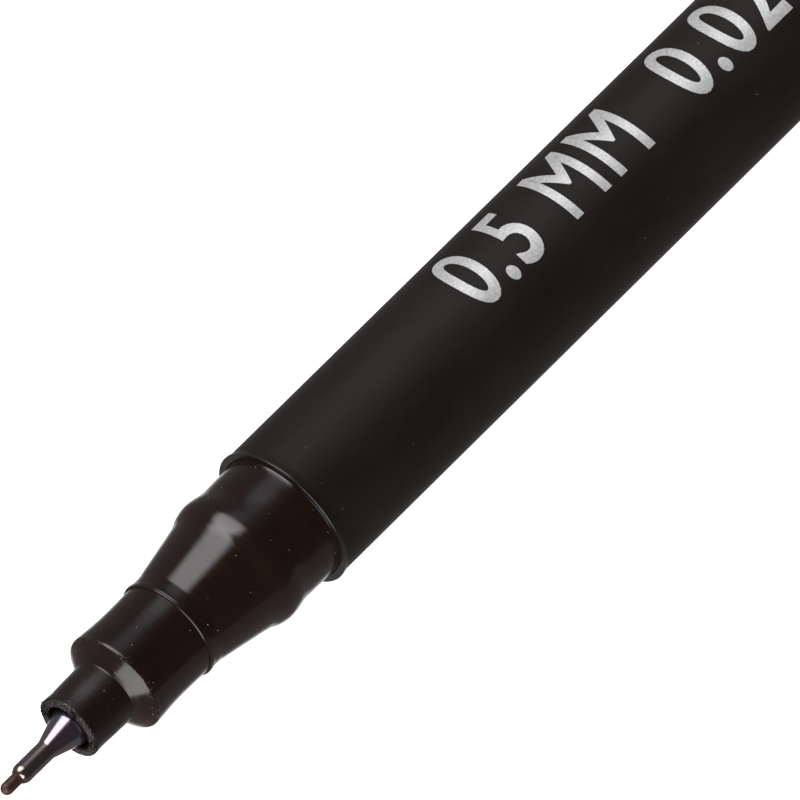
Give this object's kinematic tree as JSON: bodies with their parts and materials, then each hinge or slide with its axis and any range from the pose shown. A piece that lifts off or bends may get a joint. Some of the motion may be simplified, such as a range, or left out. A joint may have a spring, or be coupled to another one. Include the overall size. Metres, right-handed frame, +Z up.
{
  "type": "fineliner pen",
  "caption": "Capped fibre-point drawing pen with a metal point casing, glossy stepped grip, matt round barrel, and the cap posted on the tail.",
  "frame": {"origin": "on the pen's axis, half way along the barrel, which is the middle of the length that a pen loop or holder grips", "axes": "-X along the axis towards the point, +X towards the cap on the tail; +Z up with the pen lying on its cap and clip; the clip leans to -Y"},
  "size_m": [0.1642, 0.0123, 0.0106],
  "materials": {
    "barrel_matt": "soft matt coating",
    "grip_gloss": "polished moulding",
    "sleeve_satin": "satin",
    "casing_metal": "polished, bronze and plum tint",
    "fibre_point": "pressed fibre, inked",
    "bush_plastic": "natural moulding",
    "ink_fibre": "ink-soaked fibre",
    "film": "clear film",
    "plug_plastic": "satin moulding",
    "cap_matt": "soft matt coating",
    "liner_plastic": "natural translucent moulding",
    "crown_gloss": "polished moulding",
    "clip_metal": "brushed, nickel plated",
    "print_silver": "silver foil print"
  },
  "bodies": {
    "pen": {"writing_tip": "fibre_point", "nib_casing": "casing_metal", "nib_sleeve": "sleeve_satin", "nose_holder": "grip_gloss", "grip_section": "grip_gloss", "point_bush": "bush_plastic", "barrel": "barrel_matt", "ink_reservoir": "ink_fibre", "reservoir_wrap": "film", "tail_plug": "plug_plastic"},
    "cap": {"cap_shell": "cap_matt", "cap_liner": "liner_plastic", "cap_crown": "crown_gloss"},
    "clip": {"cap_clip": "clip_metal"}
  },
  "joints": [
    {"name": "cap_pull", "type": "slide", "parent": "pen", "child": "cap", "axis": [1, 0, 0], "range_m": [0, 0.014]},
    {"name": "clip_flex", "type": "hinge", "parent": "cap", "child": "clip", "pos_m": [0.08605, -0.00418, -0.00256], "axis": [0, -0.5219, 0.853], "range_deg": [0, 4], "stiffness_Nm_per_rad": 1}
  ]
}
